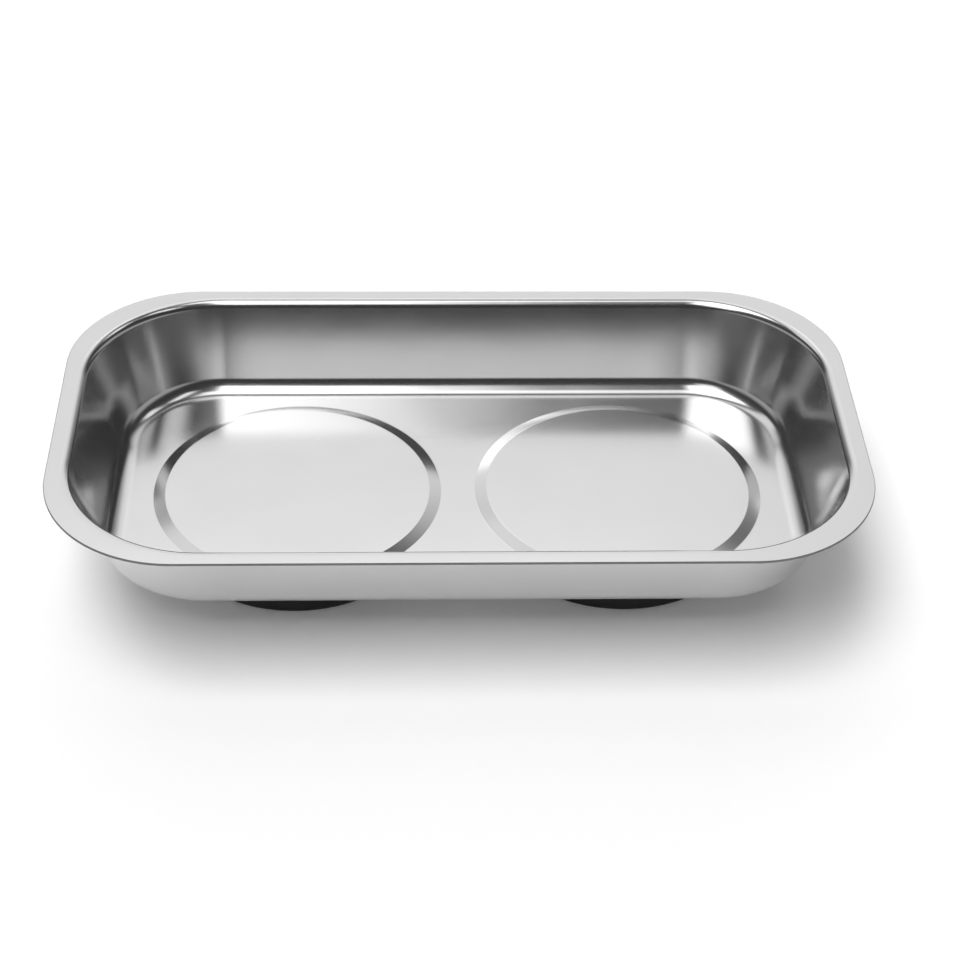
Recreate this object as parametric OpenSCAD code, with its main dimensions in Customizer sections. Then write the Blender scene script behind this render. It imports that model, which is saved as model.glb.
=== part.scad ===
// Magnetic parts tray: a pressed stainless pan that stands on two rubber-covered magnet feet.
// Millimetres, +Z up, +X along the tray. The origin is on the bench, under the middle of the tray.

/* [Rim] */
// Length of the tray over its rim
rim_length = 240; // [215:1:300]
// Width of the tray over its rim
rim_width = 136.5; // [130:0.5:180]
// Radius of the rim's corners, seen from above
rim_corner_r = 39.5; // [30:0.5:50]
// Width of the rim, from its edge to the line where rim and wall would meet
rim_flange = 6; // [4:0.5:9]
// Radius of the bend between rim and wall, on the side that shows
rim_bend_r = 3; // [1.5:0.25:5]

/* [Pan] */
// Radius of the pan's corners, seen from above, on the line where rim and wall would meet
wall_corner_r = 40.5; // [34:0.5:50]
// Thickness of the pressed sheet
sheet = 0.8; // [0.5:0.1:1.2]
// Depth of the pan, from the rim down to its floor
pan_depth = 28; // [20:0.5:31]
// Slope of the walls away from upright, in degrees
wall_draft = 19.5; // [10:0.5:26]
// Radius of the hollow between wall and floor
floor_fillet_r = 6.6; // [2:0.2:8]

/* [Raised discs] */
// Distance between the centres of the two discs
disc_spacing = 98; // [92:1:108]
// Height of a disc above the floor
disc_rise = 1; // [0.4:0.1:2]
// Width of the sloped band around a disc
disc_slope_w = 3.7; // [2:0.1:5]
// Room between a foot and the start of the sloped band above it
disc_seat_gap = 0.7; // [0.2:0.1:1.5]

/* [Magnet feet] */
// Outer diameter of the ring magnet
magnet_d = 72; // [60:1:74]
// Bore of the ring magnet
magnet_bore_d = 32; // [28:1:40]
// Height of the ring magnet
magnet_h = 11; // [9.5:0.5:14]
// Thickness of the dished clamp plate
plate = 2; // [1:0.25:3]
// Wall of the rubber cover around the magnet
cover_wall = 3.3; // [2:0.1:4]
// Thickness of the rubber cover under the clamp plate
cover_floor = 2.6; // [1.5:0.1:4]
// Rounding of the cover's lower edge
cover_edge_r = 2; // [0.5:0.25:3]
// Room between the magnet and what goes around it or through it
magnet_gap = 0.2; // [0.1:0.05:0.4]

/* [Fasteners] */
// Diameter of the stud's thread
stud_d = 5; // [4:0.5:6]
// Diameter of the flange that is welded to the pan
stud_flange_d = 12; // [8:0.5:16]
// Thickness of that flange
stud_flange_h = 0.8; // [0.5:0.1:1.5]
// Length of thread that shows below the nut
stud_end = 0.5; // [0.2:0.1:0.8]
// Height of the centring bush around the stud
bush_h = 2.8; // [2:0.1:3]
// Width of the nut across its flats
nut_flats = 8; // [7:0.5:10]
// Height of the nut
nut_h = 4; // [3:0.25:4.25]
// Outer diameter of the lock washer
lock_d = 9.2; // [8:0.2:12]
// Thickness of the lock washer
lock_h = 1.2; // [0.8:0.1:1.4]
// Width of the slit in the lock washer
lock_slit = 0.8; // [0.4:0.1:1.2]
// Outer diameter of the flat washer
washer_d = 15; // [11:0.5:18]
// Thickness of the flat washer
washer_h = 1; // [0.6:0.1:1.2]

/* [Hidden] */

$fn = 96;
// Straight pieces in each rounded stretch of a profile
arc_steps = 8;
// A quarter of a turn, in degrees
quarter_turn = 90;
// How far a cut runs past the faces that it opens
overrun = 1;
// How far the flat stretches of the pan and their neighbours run into each other
seam_lap = 0.6;
// Free room around the stud in the pieces that it passes through
stud_gap = 0.1;
// Chamfer on the stud's end and on the nut's corners
thread_chamfer = 0.5;

// Heights, from the bench up: the cover's floor, the clamp plate, the magnet, the disc, the rim
plate_z = cover_floor;
magnet_z = plate_z + plate;
seat_z = magnet_z + magnet_h;
floor_z = seat_z - disc_rise + sheet;
disc_z = seat_z + sheet;
rim_z = floor_z + pan_depth;

// Bend, wall and hollow share one centre in each corner, so places in their profile are distances from there
corner_x = rim_length / 2 - rim_flange - wall_corner_r;
corner_y = rim_width / 2 - rim_flange - wall_corner_r;
wall_turn = quarter_turn - wall_draft;
wall_foot = wall_corner_r - pan_depth * tan(wall_draft);
bend_out = wall_corner_r + rim_bend_r * tan(wall_turn / 2);
floor_edge = wall_foot - floor_fillet_r * tan(wall_turn / 2);

// Radii in a foot, from the magnet's bore inwards and from its rim outwards
magnet_r = magnet_d / 2;
bore_r = magnet_bore_d / 2;
cover_r = magnet_r + magnet_gap + cover_wall;
disc_top_r = cover_r + disc_seat_gap;
disc_r = disc_top_r + disc_slope_w;
boss_r = bore_r - magnet_gap;
pocket_r = boss_r - plate;
well_r = pocket_r - cover_floor;
stud_r = stud_d / 2;
stud_hole_r = stud_r + stud_gap;
flange_r = stud_flange_d / 2;

// Heights in the middle of a foot, from the disc down: bush, plate, cover, washers, nut, stud
boss_z = seat_z - bush_h;
pocket_z = boss_z - plate;
well_z = pocket_z - cover_floor;
washer_z = well_z - washer_h;
lock_z = washer_z - lock_h;
nut_z = lock_z - nut_h;
stud_z = nut_z - stud_end;

// Points of an arc around a centre, between two directions in degrees
function arc(centre, r, from, to) =
    [for (i = [0 : arc_steps]) let (a = from + (to - from) * i / arc_steps) centre + r * [cos(a), sin(a)]];

// One face of the sheet from the rim into the floor, set back from the inner face by the given depth
function sheet_face(depth) = concat(
    [[bend_out + seam_lap, rim_z - depth]],
    arc([bend_out, rim_z - rim_bend_r], rim_bend_r - depth, quarter_turn, quarter_turn + wall_turn),
    arc([floor_edge, floor_z + floor_fillet_r], floor_fillet_r + depth, -wall_draft, -quarter_turn),
    [[floor_edge - seam_lap, floor_z - depth]]
);

function reversed(points) = [for (i = [len(points) - 1 : -1 : 0]) points[i]];

// Bend, wall and hollow of the pan in section
module wall_section() {
    polygon(concat(sheet_face(0), reversed(sheet_face(sheet))));
}

// A straight stretch of the wall that faces outwards in a direction, in degrees
module wall_run(direction, distance, length) {
    rotate(direction) translate([distance, length / 2, 0]) rotate([90, 0, 0])
        linear_extrude(length) wall_section();
}

module wall_corner(direction) {
    x = corner_x * sign(cos(direction));
    y = corner_y * sign(sin(direction));
    translate([x, y, 0]) rotate(direction - 45) rotate_extrude(angle = 90) wall_section();
}

module pan_wall() {
    for (direction = [45 : 90 : 315]) wall_corner(direction);
    for (direction = [0, 180]) wall_run(direction, corner_x, 2 * corner_y);
    for (direction = [90, 270]) wall_run(direction, corner_y, 2 * corner_x);
}

// A rectangle with round corners, given by a corner's centre and its radius
module rounded_outline(x, y, r) {
    square([2 * (x + r), 2 * y], center = true);
    square([2 * x, 2 * (y + r)], center = true);
    for (side_x = [-x, x], side_y = [-y, y]) translate([side_x, side_y]) circle(r);
}

// The flat rim around the bend; its inner edge lies within the lap of the wall
module pan_rim() {
    translate([0, 0, rim_z - sheet]) linear_extrude(sheet) difference() {
        rounded_outline(rim_length / 2 - rim_corner_r, rim_width / 2 - rim_corner_r, rim_corner_r);
        rounded_outline(corner_x, corner_y, bend_out + seam_lap / 2);
    }
}

// The flat floor inside the hollow; its edge lies within the lap of the wall
module pan_floor() {
    translate([0, 0, floor_z - sheet]) linear_extrude(sheet) difference() {
        rounded_outline(corner_x, corner_y, floor_edge - seam_lap / 2);
        for (side = [-1, 1]) translate([side * disc_spacing / 2, 0]) circle(disc_r + seam_lap / 2);
    }
}

// A raised disc, with its sloped band down to the floor and a lap over the floor's edge
module raised_disc() {
    lap_r = disc_r + seam_lap;
    rotate_extrude() polygon([
        [0, seat_z], [0, disc_z], [disc_top_r, disc_z], [disc_r, floor_z], [lap_r, floor_z],
        [lap_r, floor_z - sheet], [disc_r, floor_z - sheet], [disc_top_r, seat_z]
    ]);
}

module tray_pan() {
    color("silver") union() {
        pan_rim();
        pan_wall();
        pan_floor();
        for (side = [-1, 1]) translate([side * disc_spacing / 2, 0, 0]) raised_disc();
    }
}

module weld_stud() {
    color("lightslategray") rotate_extrude() polygon([
        [0, stud_z], [stud_r - thread_chamfer, stud_z], [stud_r, stud_z + thread_chamfer],
        [stud_r, seat_z - stud_flange_h], [flange_r, seat_z - stud_flange_h],
        [flange_r, seat_z], [0, seat_z]
    ]);
}

module ring(r, hole_r, z, h) {
    translate([0, 0, z]) difference() {
        cylinder(h = h, r = r);
        translate([0, 0, -overrun]) cylinder(h = h + 2 * overrun, r = hole_r);
    }
}

module ring_magnet() {
    color("dimgray") ring(magnet_r, bore_r, magnet_z, magnet_h);
}

// Fills the magnet's bore around the stud, with a counterbore for the stud's flange
module centring_bush() {
    color("ivory") difference() {
        ring(boss_r, stud_hole_r, boss_z, bush_h);
        translate([0, 0, seat_z - stud_flange_h])
            cylinder(h = stud_flange_h + overrun, r = flange_r + stud_gap);
    }
}

// Flat under the magnet, and dished up into the magnet's bore to make room for the nut
module clamp_plate() {
    color("gainsboro") rotate_extrude() polygon([
        [pocket_r, plate_z], [magnet_r, plate_z], [magnet_r, magnet_z], [boss_r, magnet_z],
        [boss_r, boss_z], [stud_hole_r, boss_z], [stud_hole_r, pocket_z], [pocket_r, pocket_z]
    ]);
}

// A boot that takes the plate and the magnet, with a well in its middle for the nut
module rubber_cover() {
    edge = [cover_r - cover_edge_r, cover_edge_r];
    color([0.12, 0.12, 0.13]) rotate_extrude() polygon(concat(
        [[well_r, 0]],
        arc(edge, cover_edge_r, -quarter_turn, 0),
        [
            [cover_r, seat_z], [magnet_r + magnet_gap, seat_z], [magnet_r + magnet_gap, plate_z],
            [pocket_r, plate_z], [pocket_r, pocket_z], [stud_hole_r, pocket_z],
            [stud_hole_r, well_z], [well_r, well_z]
        ]
    ));
}

module flat_washer() {
    color("lightgray") ring(washer_d / 2, stud_hole_r, washer_z, washer_h);
}

// A ring that is slit through on one side
module lock_washer() {
    color("darkgray") difference() {
        ring(lock_d / 2, stud_hole_r, lock_z, lock_h);
        translate([0, -lock_slit / 2, lock_z - overrun]) cube([lock_d, lock_slit, lock_h + 2 * overrun]);
    }
}

module hex_nut() {
    corner_r = nut_flats / 2 / cos(30);
    face_r = corner_r - thread_chamfer;
    color("silver") difference() {
        intersection() {
            translate([0, 0, nut_z]) cylinder(h = nut_h, r = corner_r, $fn = 6);
            rotate_extrude() polygon([
                [0, nut_z], [face_r, nut_z], [corner_r, nut_z + thread_chamfer],
                [corner_r, nut_z + nut_h], [0, nut_z + nut_h]
            ]);
        }
        translate([0, 0, nut_z - overrun]) cylinder(h = nut_h + 2 * overrun, r = stud_hole_r);
    }
}

// Puts a foot's piece under the left disc or the right disc
module left() {
    translate([-disc_spacing / 2, 0, 0]) children();
}

module right() {
    translate([disc_spacing / 2, 0, 0]) children();
}

tray_pan();
left() weld_stud();  // left_weld_stud
right() weld_stud();  // right_weld_stud
left() ring_magnet();  // left_ring_magnet
right() ring_magnet();  // right_ring_magnet
left() centring_bush();  // left_centring_bush
right() centring_bush();  // right_centring_bush
left() clamp_plate();  // left_clamp_plate
right() clamp_plate();  // right_clamp_plate
left() rubber_cover();  // left_rubber_cover
right() rubber_cover();  // right_rubber_cover
left() flat_washer();  // left_flat_washer
right() flat_washer();  // right_flat_washer
left() lock_washer();  // left_lock_washer
right() lock_washer();  // right_lock_washer
left() hex_nut();  // left_hex_nut
right() hex_nut();  // right_hex_nut
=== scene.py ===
"""A magnetic parts tray: a pressed stainless pan on two rubber-covered magnet feet, in a white studio."""

import math

import bmesh
import bpy
from mathutils import Matrix, Vector


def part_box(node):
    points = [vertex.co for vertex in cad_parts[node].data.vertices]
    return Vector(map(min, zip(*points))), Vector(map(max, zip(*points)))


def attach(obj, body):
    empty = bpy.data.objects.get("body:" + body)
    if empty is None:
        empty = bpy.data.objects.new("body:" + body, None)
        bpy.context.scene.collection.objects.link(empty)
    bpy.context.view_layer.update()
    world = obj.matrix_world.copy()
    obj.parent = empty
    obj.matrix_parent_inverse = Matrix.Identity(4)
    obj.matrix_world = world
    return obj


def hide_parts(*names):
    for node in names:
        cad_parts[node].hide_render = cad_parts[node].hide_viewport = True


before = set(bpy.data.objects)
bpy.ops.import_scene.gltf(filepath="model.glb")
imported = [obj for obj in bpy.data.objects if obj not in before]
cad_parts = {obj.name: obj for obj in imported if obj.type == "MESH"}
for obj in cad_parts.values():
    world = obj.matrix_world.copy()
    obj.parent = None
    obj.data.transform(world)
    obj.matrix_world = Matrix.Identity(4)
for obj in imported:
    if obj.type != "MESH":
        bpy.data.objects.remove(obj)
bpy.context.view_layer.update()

MM = 0.001
BODY = "root"
FEET = ("left", "right")
UP = Vector((0, 0, 1))
FULL_TURN = 2 * math.pi
QUARTER_TURN = FULL_TURN / 4
SIXTH_TURN = FULL_TURN / 6
WELD = 0.001 * MM

# Which way an arc of a profile turns, seen with the object's outside on the right
OUT_TO_DOWN = (0, 1, 0)
DOWN_TO_IN = (0, -1, 0)

# The pan's sizes: its box comes from the frame, the rest is the pressing's own
pan_low, pan_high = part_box("tray_pan")
SHEET = 0.8 * MM
RIM_CORNER_R = 39.5 * MM
RIM_FLANGE = 6 * MM
RIM_BEND_R = 3 * MM
WALL_CORNER_R = 40.5 * MM
CUT_EDGE_R = 0.18 * MM
WALL_DRAFT = math.radians(19.5)
FLOOR_FILLET_R = 6.6 * MM
DISC_RISE = 1 * MM
DISC_SLOPE_W = 3.7 * MM
DISC_SEAT_GAP = 0.7 * MM
DISC_BEND_R = 1.4 * MM

# Width of the strips of flat floor and disc that are drawn beside a bend
FLAT_STRIP = 0.6 * MM

# The feet's sizes that the frame's boxes don't give
MAGNET_GAP = 0.2 * MM
PLATE = 2 * MM
COVER_EDGE_R = 2 * MM
COVER_LIP_R = 0.5 * MM
WELL_MOUTH_R = 1.2 * MM
WELL_ROOT_R = 1 * MM
STUD_R = 2.5 * MM
STUD_GAP = 0.1 * MM
STUD_CHAMFER = 0.5 * MM
STUD_FLANGE_H = 0.8 * MM
THREAD_PITCH = 0.8 * MM
THREAD_DEPTH = 0.43 * MM
WASHER_EDGE_R = 0.2 * MM
LOCK_EDGE_R = 0.15 * MM
LOCK_SLIT = 0.8 * MM
NUT_FACE_SHARE = 0.94
NUT_SLOPE = math.tan(math.radians(30))
BORE_CHAMFER = 0.35 * MM
HOLE_R = STUD_R + STUD_GAP

# Heights, corner centres and distances from a corner's centre, which follow from the sizes
RIM_Z = pan_high.z
FLOOR_Z = pan_low.z + SHEET
WALL_TURN = QUARTER_TURN - WALL_DRAFT
WALL_FOOT = WALL_CORNER_R - (RIM_Z - FLOOR_Z) * math.tan(WALL_DRAFT)
BEND_OUT = WALL_CORNER_R + RIM_BEND_R * math.tan(WALL_TURN / 2)
FLOOR_EDGE = WALL_FOOT - FLOOR_FILLET_R * math.tan(WALL_TURN / 2)
rim_centre = Vector((pan_high.x - RIM_CORNER_R, pan_high.y - RIM_CORNER_R, 0))
wall_centre = Vector((pan_high.x, pan_high.y, 0)) - Vector((1, 1, 0)) * (RIM_FLANGE + WALL_CORNER_R)

# Steps in the stretches of the meshes
CORNER_STEPS = 72
END_STEPS = 6
SIDE_STEPS = 16
CUT_STEPS = 3
BEND_STEPS = 14
FILLET_STEPS = 24
DISC_STEPS = 192
DISC_BEND_STEPS = 5
FOOT_STEPS = 144
FASTENER_STEPS = 72
EDGE_STEPS = 4
PITCH_STEPS = 8

# Edges that turn more than SHARP stay sharp, and large faces weigh most in the normals
SHARP = math.radians(35)
NORMAL_WEIGHT = 100

# Places of the pan's two finishes among its materials
ROLLED = 0
SHEARED = 1

# Depths of the unevenness that the finishes show
PRESS_WAVES = 0.4 * MM
RUBBER_PORES = 0.05 * MM

# The camera, as the photograph was taken, with its sensor's width in millimetres
PHOTO_SIDE = 963
CAMERA_YAW = math.radians(-2.64)
CAMERA_PITCH = math.radians(37.863)
CAMERA_ROLL = math.radians(1.428)
CAMERA_DISTANCE = 652.2 * MM
CAMERA_TARGET = Vector((5.7 * MM, -31.75 * MM, RIM_Z))
CAMERA_CLIP = 10 * MM
FOCAL_PIXELS = 2262.9
SENSOR = 36

# The studio: a white floor, and a dim room with a white backdrop, whose edges are angles in degrees
FLOOR_HALF = 4
FLOOR_WHITE = 0.95
FLOOR_GLOW = 0.08
GLOW_SEEN_BY = ("Is Camera Ray", "Is Glossy Ray", "Is Transmission Ray")
ROOM = 0.045
BACKDROP = {"strength": 0.98, "side": 30, "soft side": 14, "top": 50, "soft top": 8}

# The softboxes are on a ceiling one unit up, with edges in units to the left, right, front and back of the
# tray. The two walls reach so far out that they stand low beside the tray. HORIZON is the least rise of a
# direction, so that low ones still meet the ceiling
HORIZON = 0.05
SOFTBOXES = {
    "key": {"x": (-0.55, 0.01), "y": (-0.75, 0.2), "soft": 0.07, "strength": 6.0},
    "overhead": {"x": (0.0, 0.16), "y": (-0.14, 0.2), "soft": 0.05, "strength": 1.5},
    "back": {"x": (-0.3, 0.25), "y": (0.85, 1.18), "soft": 0.1, "strength": 1.6},
    "back ceiling": {"x": (-0.95, 0.2), "y": (0.42, 1.0), "soft": 0.08, "strength": 1.0},
    "right": {"x": (0.34, 0.51), "y": (-0.38, 0.15), "soft": 0.04, "strength": 1.5},
    "back right": {"x": (0.46, 0.84), "y": (0.28, 0.61), "soft": 0.06, "strength": 1.3},
    "front left": {"x": (-0.7, -0.2), "y": (-1.15, -0.75), "soft": 0.06, "strength": 1.2},
    "left wall": {"x": (-7, -2), "y": (-7, 2), "soft": 0.6, "strength": 0.45},
    "right wall": {"x": (2, 7), "y": (-7, 2), "soft": 0.6, "strength": 0.45},
}

# The key's strength where it shows in steel, as a camera rolls off what would clip
KEY_IN_STEEL = 2.8


class Socket:
    """An output socket of a node tree. Arithmetic on it adds Math nodes."""

    def __init__(self, tree, socket):
        self.tree = tree
        self.socket = socket

    @classmethod
    def node(cls, tree, kind, settings=None, inputs=None, output=0):
        """Adds a node of a type, sets its settings, then the values or links of its sockets."""
        made = tree.nodes.new(kind)
        for name, value in (settings or {}).items():
            setattr(made, name, value)
        for name, value in (inputs or {}).items():
            if isinstance(value, Socket):
                tree.links.new(value.socket, made.inputs[name])
            else:
                made.inputs[name].default_value = value
        return cls(tree, made.outputs[output]) if made.outputs else made

    def math(self, operation, *others):
        """A Math node on this value and then the others."""
        values = dict(enumerate((self, *others)))
        return Socket.node(self.tree, "ShaderNodeMath", {"operation": operation}, values)

    def __add__(self, other):
        return self.math("ADD", other)

    def __radd__(self, other):
        return self + other

    def __rsub__(self, other):
        return -1 * self + other

    def __mul__(self, other):
        return self.math("MULTIPLY", other)

    def __rmul__(self, other):
        return self * other

    def between(self, low, high):
        """A value that goes from low to high while this one goes from 0 to 1."""
        return low + (high - low) * self

    def smooth(self, low, high):
        """0 below low, 1 above high, and a soft step between them."""
        inputs = {"Value": self, "From Min": low, "From Max": high}
        return Socket.node(self.tree, "ShaderNodeMapRange", {"interpolation_type": "SMOOTHSTEP"}, inputs)

    def window(self, low, high, soft):
        """1 between low and high, and 0 outside, with soft edges."""
        return self.smooth(low - soft, low + soft) * (1 - self.smooth(high - soft, high + soft))


def new_tree(owner):
    """The empty node tree of a material or a world."""
    owner.use_nodes = True
    owner.node_tree.nodes.clear()
    return owner.node_tree


def noise(tree, scale, detail):
    """Noise over the object's own coordinates, with a scale in waves per metre."""
    place = Socket.node(tree, "ShaderNodeTexCoord", output="Object")
    inputs = {"Vector": place, "Scale": scale, "Detail": detail}
    return Socket.node(tree, "ShaderNodeTexNoise", {}, inputs, "Fac")


def grey(tree, value):
    """A colour with one value for red, green and blue."""
    return Socket.node(tree, "ShaderNodeCombineColor", {}, {"Red": value, "Green": value, "Blue": value})


def bump(tree, height, strength, distance):
    """A normal tilted by a height from 0 to 1, where 1 stands for a distance."""
    inputs = {"Strength": strength, "Distance": distance, "Height": height}
    return Socket.node(tree, "ShaderNodeBump", {}, inputs)


def surface(name, inputs_of):
    """A material whose Principled inputs come from a function of its node tree."""
    material = bpy.data.materials.new(name)
    tree = new_tree(material)
    shader = Socket.node(tree, "ShaderNodeBsdfPrincipled", {}, inputs_of(tree))
    Socket.node(tree, "ShaderNodeOutputMaterial", {}, {"Surface": shader})
    return material


def stainless(tree):
    """Bright rolled sheet: soft reflections, a faint cloudiness and shallow waves from the press."""
    cloud = noise(tree, scale=60, detail=4)
    speck = noise(tree, scale=2500, detail=2)
    waves = noise(tree, scale=22, detail=1)
    return {
        "Base Color": grey(tree, cloud.between(0.64, 0.67)),
        "Metallic": 1.0,
        "Roughness": cloud.between(0.145, 0.185) + speck.between(0, 0.02),
        "Normal": bump(tree, waves, strength=0.4, distance=PRESS_WAVES),
    }


def shaded_cut_edge(tree):
    """The sheet's cut edge: torn and rough, and painted dark for the shade along the thin edge."""
    tear = noise(tree, scale=900, detail=3)
    return {
        # Painted shade: the edge's colour is kept dark for the shade that the thin edge sits in
        "Base Color": grey(tree, tear.between(0.15, 0.25)),
        "Metallic": 1.0,
        "Roughness": tear.between(0.4, 0.6),
    }


def black_rubber(tree):
    """Moulded rubber: matt, with fine pores and a greyer bloom."""
    bloom = noise(tree, scale=120, detail=4)
    pores = noise(tree, scale=3000, detail=3)
    return {
        "Base Color": grey(tree, bloom.between(0.01, 0.022)),
        "Roughness": bloom.between(0.55, 0.75),
        "Normal": bump(tree, pores, strength=0.3, distance=RUBBER_PORES),
    }


def ferrite(tree):
    """Sintered magnet: charcoal grey with a fine grain."""
    grain = noise(tree, scale=1500, detail=4)
    return {"Base Color": grey(tree, grain.between(0.03, 0.06)), "Roughness": grain.between(0.6, 0.8)}


def zinc_plate(tree):
    """Bright zinc on steel, with a faint mottle."""
    mottle = noise(tree, scale=700, detail=4)
    return {
        "Base Color": grey(tree, mottle.between(0.5, 0.62)),
        "Metallic": 1.0,
        "Roughness": mottle.between(0.28, 0.43),
    }


def nylon(tree):
    """Natural nylon: milky white."""
    milk = noise(tree, scale=300, detail=3)
    return {"Base Color": grey(tree, milk.between(0.66, 0.76)), "Roughness": milk.between(0.4, 0.5)}


def half_width(node):
    """Half of a node's width along the tray."""
    low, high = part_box(node)
    return (high.x - low.x) / 2


def foot_axis(side):
    """The place on the bench under the middle of a foot."""
    low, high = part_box(f"{side}_rubber_cover")
    return Vector(((low.x + high.x) / 2, (low.y + high.y) / 2, 0))


def beside(centre, r, z):
    """The place at a distance from an upright axis and at a height above the axis's foot."""
    return centre + Vector((r, 0, z))


def verts_in(parts):
    """The vertices among what an operator gives back."""
    return [part for part in parts if isinstance(part, bmesh.types.BMVert)]


def edges_in(parts):
    """The edges among what an operator gives back."""
    return [part for part in parts if isinstance(part, bmesh.types.BMEdge)]


def draw_line(bm, point, place):
    """Carries a profile on from its last point, straight to a place."""
    end = bmesh.ops.extrude_vert_indiv(bm, verts=[point])["verts"][0]
    end.co = place
    return end


def draw_arc(bm, point, centre, axis, angle, steps):
    """Carries a profile on from its last point, round a centre."""
    spun = bmesh.ops.spin(bm, geom=[point], cent=centre, axis=axis, angle=angle, steps=steps)
    return verts_in(spun["geom_last"])[0]


def spin_round(bm, centre, angle, steps):
    """Spins all that is drawn so far about an upright axis, and gives the first and the last section."""
    first = bm.edges[:]
    drawn = bm.verts[:] + first
    full = angle == FULL_TURN
    spun = bmesh.ops.spin(
        bm, geom=drawn, cent=centre, axis=UP, angle=angle, steps=steps, use_merge=full
    )
    return first, edges_in(spun["geom_last"])


def run_on(bm, edges, way, steps):
    """Extrudes edges straight on, in even steps."""
    for _ in range(steps):
        made = bmesh.ops.extrude_edge_only(bm, edges=edges)["geom"]
        bmesh.ops.translate(bm, verts=verts_in(made), vec=way / steps)
        edges = edges_in(made)


def mirror_over(bm, axis):
    """Adds the mirror image across a middle plane, and welds the two together."""
    bmesh.ops.mirror(bm, geom=bm.verts[:] + bm.edges[:] + bm.faces[:], axis=axis, merge_dist=WELD)
    bmesh.ops.remove_doubles(bm, verts=bm.verts[:], dist=WELD)


def mesh_of(name, bm):
    """Turns a bmesh into a mesh, and frees it."""
    mesh = bpy.data.meshes.new(name)
    bm.to_mesh(mesh)
    bm.free()
    return mesh


def add_to(bm, other):
    """Puts all of another bmesh into this one, and frees the other."""
    mesh = mesh_of("passing", other)
    bm.from_mesh(mesh)
    bpy.data.meshes.remove(mesh)


def new_object(name, data):
    """An object in the scene."""
    made = bpy.data.objects.new(name, data)
    bpy.context.scene.collection.objects.link(made)
    return made


def piece(name, bm, materials, node):
    """Makes a mesh a finished piece of the object, in place of a node."""
    for face in bm.faces:
        face.smooth = True
    for edge in bm.edges:
        edge.smooth = edge.calc_face_angle() < SHARP
    mesh = mesh_of(name, bm)
    for material in materials:
        mesh.materials.append(material)
    made = new_object(name, mesh)
    weigh = made.modifiers.new("weighted normals", "WEIGHTED_NORMAL")
    weigh.weight = NORMAL_WEIGHT
    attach(made, BODY)
    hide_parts(node)


def round_corner(bm, profile, centre, finish):
    """Takes a profile a quarter turn round a corner's centre, and on along both sides to the pan's middle."""
    first, last = spin_round(profile, centre, QUARTER_TURN, CORNER_STEPS)
    run_on(profile, first, Vector((0, -centre.y, 0)), END_STEPS)
    run_on(profile, last, Vector((-centre.x, 0, 0)), SIDE_STEPS)
    for face in profile.faces:
        face.material_index = finish
    add_to(bm, profile)


def sheet_face(bm, depth):
    """One face of the sheet from the floor over hollow, wall and bend up to the rim, set back by a depth."""
    profile = bmesh.new()
    hollow = beside(wall_centre, FLOOR_EDGE, FLOOR_Z + FLOOR_FILLET_R)
    bend = beside(wall_centre, BEND_OUT, RIM_Z - RIM_BEND_R)
    to_wall = Vector((math.cos(WALL_DRAFT), 0, -math.sin(WALL_DRAFT)))
    point = profile.verts.new(beside(wall_centre, FLOOR_EDGE - FLAT_STRIP, FLOOR_Z - depth))
    point = draw_line(profile, point, beside(wall_centre, FLOOR_EDGE, FLOOR_Z - depth))
    point = draw_arc(profile, point, hollow, DOWN_TO_IN, WALL_TURN, FILLET_STEPS)
    point = draw_line(profile, point, bend - to_wall * (RIM_BEND_R - depth))
    draw_arc(profile, point, bend, OUT_TO_DOWN, WALL_TURN, BEND_STEPS)
    round_corner(bm, profile, wall_centre, ROLLED)


def cut_edge(bm):
    """The sheet's edge around the rim, with its burr rounded off."""
    profile = bmesh.new()
    flat_end = RIM_CORNER_R - CUT_EDGE_R
    high = RIM_Z - CUT_EDGE_R
    low = RIM_Z - SHEET + CUT_EDGE_R
    point = profile.verts.new(beside(rim_centre, flat_end, RIM_Z))
    point = draw_arc(profile, point, beside(rim_centre, flat_end, high), OUT_TO_DOWN, QUARTER_TURN, CUT_STEPS)
    point = draw_line(profile, point, beside(rim_centre, RIM_CORNER_R, low))
    draw_arc(profile, point, beside(rim_centre, flat_end, low), OUT_TO_DOWN, QUARTER_TURN, CUT_STEPS)
    round_corner(bm, profile, rim_centre, SHEARED)


def flat_edges(bm, level):
    """The open edges at a height, apart from those in the pan's two middle planes."""
    found = []
    for edge in bm.edges:
        ends = [v.co for v in edge.verts]
        in_plane = any(all(abs(end[axis]) < WELD for end in ends) for axis in range(2))
        if edge.is_boundary and not in_plane and all(abs(end.z - level) < WELD for end in ends):
            found.append(edge)
    return found


def pan_quarter(bm):
    """A quarter of the pan without its floor: both faces of the sheet, its cut edge and the flat rim."""
    for depth in (0, SHEET):
        sheet_face(bm, depth)
    cut_edge(bm)
    for depth in (0, SHEET):
        bmesh.ops.bridge_loops(bm, edges=flat_edges(bm, RIM_Z - depth))


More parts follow.
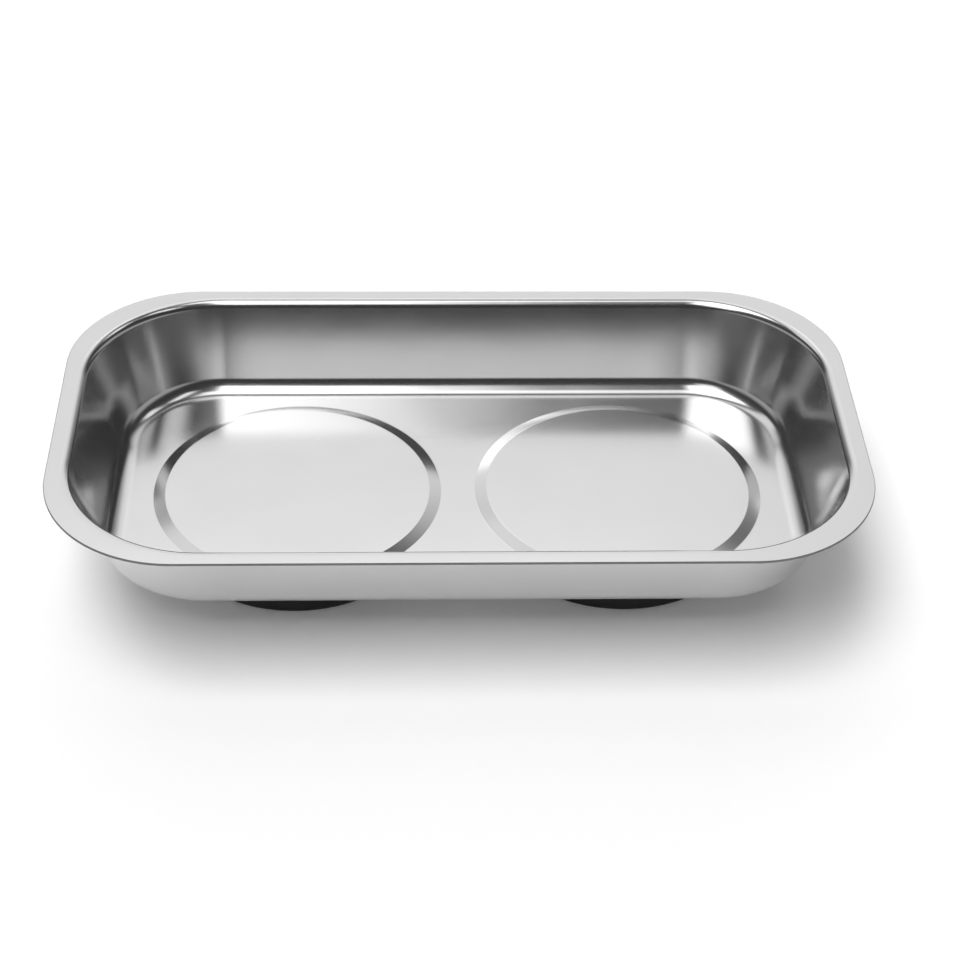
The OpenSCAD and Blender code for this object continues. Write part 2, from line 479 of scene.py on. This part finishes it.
def raised_disc(bm, centre, top_r, drop):
    """One face of a disc with its sloped band and a strip of the floor, set down by a drop."""
    profile = bmesh.new()
    slope = math.atan2(DISC_RISE, DISC_SLOPE_W)
    tangent = DISC_BEND_R * math.tan(slope / 2)
    low_r = top_r + DISC_SLOPE_W + tangent
    high_r = top_r - tangent
    low_z = FLOOR_Z - drop
    high_z = low_z + DISC_RISE
    low_bend = beside(centre, low_r, low_z + DISC_BEND_R)
    high_bend = beside(centre, high_r, low_z + (DISC_RISE - DISC_BEND_R))
    up_slope = Vector((math.sin(slope), 0, math.cos(slope)))
    point = profile.verts.new(beside(centre, low_r + FLAT_STRIP, low_z))
    point = draw_line(profile, point, beside(centre, low_r, low_z))
    point = draw_arc(profile, point, low_bend, OUT_TO_DOWN, slope, DISC_BEND_STEPS)
    point = draw_line(profile, point, high_bend + up_slope * DISC_BEND_R)
    point = draw_arc(profile, point, high_bend, DOWN_TO_IN, slope, DISC_BEND_STEPS)
    point = draw_line(profile, point, beside(centre, high_r - FLAT_STRIP, high_z))
    draw_line(profile, point, beside(centre, 0, high_z))
    spin_round(profile, centre, FULL_TURN, DISC_STEPS)
    bmesh.ops.remove_doubles(profile, verts=profile.verts[:], dist=WELD)
    add_to(bm, profile)


def fill_floor(bm, level):
    """Closes half of the floor at a level, between the hollow, the middle of the pan and the disc."""
    edges = flat_edges(bm, level)
    ends = [v for e in edges for v in e.verts if abs(v.co.x) < WELD]
    middle = bmesh.ops.contextual_create(bm, geom=ends)["edges"]
    cuts = bmesh.ops.subdivide_edges(bm, edges=middle, cuts=2 * END_STEPS - 1)["geom_inner"]
    edges += dict.fromkeys(e for v in verts_in(cuts) for e in v.link_edges)
    bmesh.ops.triangle_fill(bm, use_beauty=True, edges=edges, normal=UP)


def pressed_pan(materials):
    """The pan: a quarter mirrored to a half, its floor filled in around a disc, and the half mirrored."""
    bm = bmesh.new()
    pan_quarter(bm)
    mirror_over(bm, "Y")
    top_r = half_width("right_rubber_cover") + DISC_SEAT_GAP
    for drop in (0, SHEET):
        raised_disc(bm, foot_axis("right"), top_r, drop)
        fill_floor(bm, FLOOR_Z - drop)
    mirror_over(bm, "X")
    bmesh.ops.recalc_face_normals(bm, faces=bm.faces[:])
    piece("pressed_pan", bm, materials, "tray_pan")


def section(centre, corners):
    """A closed section beside an axis, from corners given as distance, height and rounding."""
    bm = bmesh.new()
    points = [bm.verts.new(beside(centre, r, z)) for r, z, _ in corners]
    bm.faces.new(points)
    for point, (_, _, rounding) in zip(points, corners):
        if rounding:
            bmesh.ops.bevel(
                bm,
                geom=[point],
                offset=rounding,
                affect="VERTICES",
                segments=EDGE_STEPS,
                profile=0.5,
                material=-1,
            )
    bmesh.ops.delete(bm, geom=bm.faces[:], context="FACES_ONLY")
    return bm


def closed(bm):
    """Merges the doubles of a finished solid, fills its open ends and turns its faces outwards."""
    bmesh.ops.remove_doubles(bm, verts=bm.verts[:], dist=WELD)
    bmesh.ops.holes_fill(bm, edges=[e for e in bm.edges if e.is_boundary])
    bmesh.ops.recalc_face_normals(bm, faces=bm.faces[:])
    return bm


def rubber_boot(side, material):
    """The moulded boot: rounded where it meets the bench, with a well for the nut."""
    node = f"{side}_rubber_cover"
    centre = foot_axis(side)
    cover_r = half_width(node)
    cavity_r = half_width(f"{side}_ring_magnet") + MAGNET_GAP
    pocket_r = half_width(f"{side}_centring_bush") - PLATE
    seat_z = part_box(node)[1].z
    plate_z, boss_z = (corner.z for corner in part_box(f"{side}_clamp_plate"))
    pocket_z = boss_z - PLATE
    well_z = pocket_z - plate_z
    well_r = pocket_r - plate_z
    corners = [
        (well_r, 0, WELL_MOUTH_R),
        (cover_r, 0, COVER_EDGE_R),
        (cover_r, seat_z, COVER_LIP_R),
        (cavity_r, seat_z, COVER_LIP_R),
        (cavity_r, plate_z, 0),
        (pocket_r, plate_z, 0),
        (pocket_r, pocket_z, 0),
        (HOLE_R, pocket_z, 0),
        (HOLE_R, well_z, 0),
        (well_r, well_z, WELL_ROOT_R),
    ]
    bm = section(centre, corners)
    spin_round(bm, centre, FULL_TURN, FOOT_STEPS)
    piece(f"{side}_boot", closed(bm), [material], node)


def washer_section(node, centre, rounding):
    """The section of a washer around the stud, with its corners rounded."""
    low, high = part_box(node)
    r = high.y - centre.y
    places = ((HOLE_R, low.z), (r, low.z), (r, high.z), (HOLE_R, high.z))
    return section(centre, [(*place, rounding) for place in places])


def plain_washer(side, material):
    """The flat washer: a full ring."""
    node = f"{side}_flat_washer"
    centre = foot_axis(side)
    bm = washer_section(node, centre, WASHER_EDGE_R)
    spin_round(bm, centre, FULL_TURN, FASTENER_STEPS)
    piece(f"{side}_plain_washer", closed(bm), [material], node)


def spring_washer(side, material):
    """The lock washer: a ring from one side of its slit round to the other."""
    node = f"{side}_lock_washer"
    centre = foot_axis(side)
    bm = washer_section(node, centre, LOCK_EDGE_R)
    half_slit = LOCK_SLIT / (HOLE_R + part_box(node)[1].y - centre.y)
    bmesh.ops.rotate(bm, verts=bm.verts[:], cent=centre, matrix=Matrix.Rotation(half_slit, 3, "Z"))
    spin_round(bm, centre, FULL_TURN - 2 * half_slit, FASTENER_STEPS)
    piece(f"{side}_spring_washer", closed(bm), [material], node)


def first_ring(bm, centre, r, z, capped):
    """A ring around an axis, at a distance and a height."""
    place = Matrix.Translation(centre + z * UP)
    bmesh.ops.create_circle(bm, segments=FASTENER_STEPS, radius=r, matrix=place, cap_ends=capped)
    return bm.edges[:]


def next_ring(bm, edges, centre, place):
    """Extrudes a ring, and puts its points at the distance and height that a function of the angle gives."""
    made = bmesh.ops.extrude_edge_only(bm, edges=edges)["geom"]
    for vert in verts_in(made):
        way = vert.co - centre
        angle = math.atan2(way.y, way.x)
        r, z = place(angle)
        vert.co = centre + Vector((r * math.cos(angle), r * math.sin(angle), z))
    return edges_in(made)


def chamfered_nut(side, material):
    """A hexagon nut whose corners are turned down to a cone on both faces."""
    node = f"{side}_hex_nut"
    centre = foot_axis(side)
    low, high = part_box(node)
    flat_r = (high.y - low.y) / 2
    face_r = flat_r * NUT_FACE_SHARE
    mouth_r = HOLE_R + BORE_CHAMFER

    def hexagon(angle):
        return flat_r / math.cos(angle % SIXTH_TURN - SIXTH_TURN / 2)

    def drop(angle):
        return (hexagon(angle) - face_r) * NUT_SLOPE

    bm = bmesh.new()
    first = first_ring(bm, centre, HOLE_R, low.z + BORE_CHAMFER, False)
    rings = [
        lambda angle: (mouth_r, low.z),
        lambda angle: (face_r, low.z),
        lambda angle: (hexagon(angle), low.z + drop(angle)),
        lambda angle: (hexagon(angle), high.z - drop(angle)),
        lambda angle: (face_r, high.z),
        lambda angle: (mouth_r, high.z),
        lambda angle: (HOLE_R, high.z - BORE_CHAMFER),
    ]
    edges = first
    for place in rings:
        edges = next_ring(bm, edges, centre, place)
    bmesh.ops.bridge_loops(bm, edges=first + edges)
    piece(f"{side}_nut", closed(bm), [material], node)


def threaded_stud(side, material):
    """The weld stud: a rolled thread that runs up to a thin flange."""
    node = f"{side}_weld_stud"
    centre = foot_axis(side)
    low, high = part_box(node)
    flange_r = half_width(node)
    shoulder_z = high.z - STUD_FLANGE_H
    tip_r = STUD_R - STUD_CHAMFER

    def thread(angle, z):
        turns = (z / THREAD_PITCH - angle / FULL_TURN) % 1
        return min(STUD_R - THREAD_DEPTH * abs(2 * turns - 1), tip_r + z - low.z)

    bm = bmesh.new()
    edges = first_ring(bm, centre, tip_r, low.z, True)
    steps = round((shoulder_z - low.z) / THREAD_PITCH * PITCH_STEPS)
    for step in range(1, steps + 1):
        z = low.z + (shoulder_z - low.z) * step / steps
        edges = next_ring(bm, edges, centre, lambda angle, z=z: (thread(angle, z), z))
    for z in (shoulder_z, high.z):
        edges = next_ring(bm, edges, centre, lambda angle, z=z: (flange_r, z))
    piece(f"{side}_stud", closed(bm), [material], node)


def studio_floor():
    """A white floor, which keeps the shadow and reads as white to the camera and in the steel."""
    bm = bmesh.new()
    bmesh.ops.create_grid(bm, x_segments=1, y_segments=1, size=FLOOR_HALF)
    floor = new_object("studio_floor", mesh_of("studio_floor", bm))
    material = bpy.data.materials.new("white floor")
    tree = new_tree(material)
    seen = sum(Socket.node(tree, "ShaderNodeLightPath", output=ray) for ray in GLOW_SEEN_BY)
    colour = (FLOOR_WHITE, FLOOR_WHITE, FLOOR_WHITE, 1)
    white = Socket.node(tree, "ShaderNodeBsdfDiffuse", {}, {"Color": colour})
    glow = Socket.node(tree, "ShaderNodeEmission", {}, {"Strength": FLOOR_GLOW * seen})
    both = Socket.node(tree, "ShaderNodeAddShader", {}, {0: white, 1: glow})
    Socket.node(tree, "ShaderNodeOutputMaterial", {}, {"Surface": both})
    floor.data.materials.append(material)


def studio_light():
    """A dim room with a white backdrop behind the tray and softboxes over it."""
    world = bpy.data.worlds.new("studio")
    bpy.context.scene.world = world
    tree = new_tree(world)
    direction = Socket.node(tree, "ShaderNodeTexCoord", output="Generated")
    x, y, z = (
        Socket.node(tree, "ShaderNodeSeparateXYZ", {}, {"Vector": direction}, axis) for axis in "XYZ"
    )
    height = z.math("ARCSINE") * math.degrees(1)
    turn = x.math("ARCTAN2", y) * math.degrees(1)
    sides = turn.window(-BACKDROP["side"], BACKDROP["side"], BACKDROP["soft side"])
    top = BACKDROP["top"]
    fade = BACKDROP["soft top"]
    room = ROOM + BACKDROP["strength"] * sides * (1 - height.smooth(top - fade, top + fade))
    above = z.math("MAXIMUM", HORIZON)
    across = x.math("DIVIDE", above)
    along = y.math("DIVIDE", above)
    in_steel = Socket.node(tree, "ShaderNodeLightPath", output="Is Glossy Ray")
    for name, box in SOFTBOXES.items():
        strength = box["strength"]
        if name == "key":
            strength = in_steel.between(strength, KEY_IN_STEEL)
        inside = across.window(*box["x"], box["soft"]) * along.window(*box["y"], box["soft"])
        room = room.math("MAXIMUM", strength * inside)
    light = Socket.node(tree, "ShaderNodeBackground", {}, {"Color": grey(tree, room), "Strength": 1.0})
    Socket.node(tree, "ShaderNodeOutputWorld", {}, {"Surface": light})


def photo_camera():
    """The camera that sees the tray as the photograph does."""
    turn = (
        Matrix.Rotation(CAMERA_YAW, 4, "Z")
        @ Matrix.Rotation(QUARTER_TURN - CAMERA_PITCH, 4, "X")
        @ Matrix.Rotation(CAMERA_ROLL, 4, "Z")
    )
    data = bpy.data.cameras.new("photo_camera")
    data.sensor_width = SENSOR
    data.lens = FOCAL_PIXELS * SENSOR / PHOTO_SIDE
    data.clip_start = CAMERA_CLIP
    camera = new_object("photo_camera", data)
    back = turn @ UP
    camera.matrix_world = Matrix.Translation(CAMERA_TARGET + back * CAMERA_DISTANCE) @ turn
    bpy.context.scene.camera = camera


photo_camera()
studio_light()
studio_floor()

steel = surface("pressed stainless", stainless)
rubber = surface("boot rubber", black_rubber)
zinc = surface("bright zinc", zinc_plate)

pressed_pan([steel, surface("sheared stainless in painted shade", shaded_cut_edge)])
for side in FEET:
    rubber_boot(side, rubber)
    plain_washer(side, zinc)
    spring_washer(side, zinc)
    chamfered_nut(side, zinc)
    threaded_stud(side, zinc)

# The pieces inside the boots keep the shape that they have in the frame
inner_finishes = {
    "ring_magnet": surface("sintered ferrite", ferrite),
    "centring_bush": surface("natural nylon", nylon),
    "clamp_plate": zinc,
}
for side in FEET:
    for part, finish in inner_finishes.items():
        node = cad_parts[f"{side}_{part}"]
        node.data.materials.clear()
        node.data.materials.append(finish)

bpy.context.scene.view_settings.view_transform = "Standard"
bpy.context.view_layer.update()
